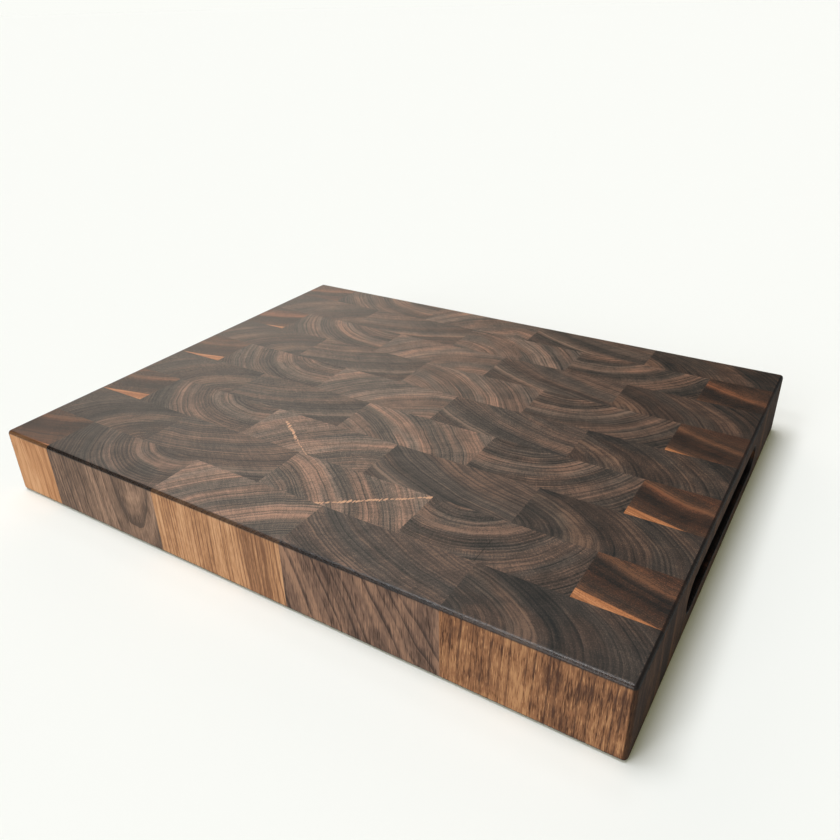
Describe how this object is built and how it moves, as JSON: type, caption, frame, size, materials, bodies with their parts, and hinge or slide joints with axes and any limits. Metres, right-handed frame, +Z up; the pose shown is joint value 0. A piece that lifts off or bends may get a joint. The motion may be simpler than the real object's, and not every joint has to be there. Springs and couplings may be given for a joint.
{
  "type": "end-grain cutting board",
  "caption": "Thick rectangular end-grain walnut cutting board glued up from staggered blocks, with eased edges and a round finger groove in each end.",
  "frame": {"origin": "middle of the underside", "axes": "+X along the board's length, +Y from the front long face to the back long face, +Z up through the thickness"},
  "size_m": [0.508, 0.405, 0.055],
  "materials": {
    "plank_1": "satin oiled end grain",
    "plank_2": "satin oiled end grain",
    "plank_3": "satin oiled end grain",
    "plank_4": "satin oiled end grain",
    "plank_5": "satin oiled end grain"
  },
  "bodies": {
    "root": {"strip_1_block_1": "plank_1", "strip_1_block_2": "plank_2", "strip_1_block_3": "plank_3", "strip_1_block_4": "plank_4", "strip_1_block_5": "plank_5", "strip_2_block_1": "plank_5", "strip_2_block_2": "plank_4", "strip_2_block_3": "plank_3", "strip_2_block_4": "plank_2", "strip_2_block_5": "plank_1", "strip_3_block_1": "plank_1", "strip_3_block_2": "plank_2", "strip_3_block_3": "plank_3", "strip_3_block_4": "plank_4", "strip_3_block_5": "plank_5", "strip_4_block_1": "plank_5", "strip_4_block_2": "plank_4", "strip_4_block_3": "plank_3", "strip_4_block_4": "plank_2", "strip_4_block_5": "plank_1", "strip_5_block_1": "plank_1", "strip_5_block_2": "plank_2", "strip_5_block_3": "plank_3", "strip_5_block_4": "plank_4", "strip_5_block_5": "plank_5", "strip_6_block_1": "plank_5", "strip_6_block_2": "plank_4", "strip_6_block_3": "plank_3", "strip_6_block_4": "plank_2", "strip_6_block_5": "plank_1", "strip_7_block_1": "plank_1", "strip_7_block_2": "plank_2", "strip_7_block_3": "plank_3", "strip_7_block_4": "plank_4", "strip_7_block_5": "plank_5", "strip_8_block_1": "plank_5", "strip_8_block_2": "plank_4", "strip_8_block_3": "plank_3", "strip_8_block_4": "plank_2", "strip_8_block_5": "plank_1", "strip_9_block_1": "plank_1", "strip_9_block_2": "plank_2", "strip_9_block_3": "plank_3", "strip_9_block_4": "plank_4", "strip_9_block_5": "plank_5"}
  },
  "joints": []
}
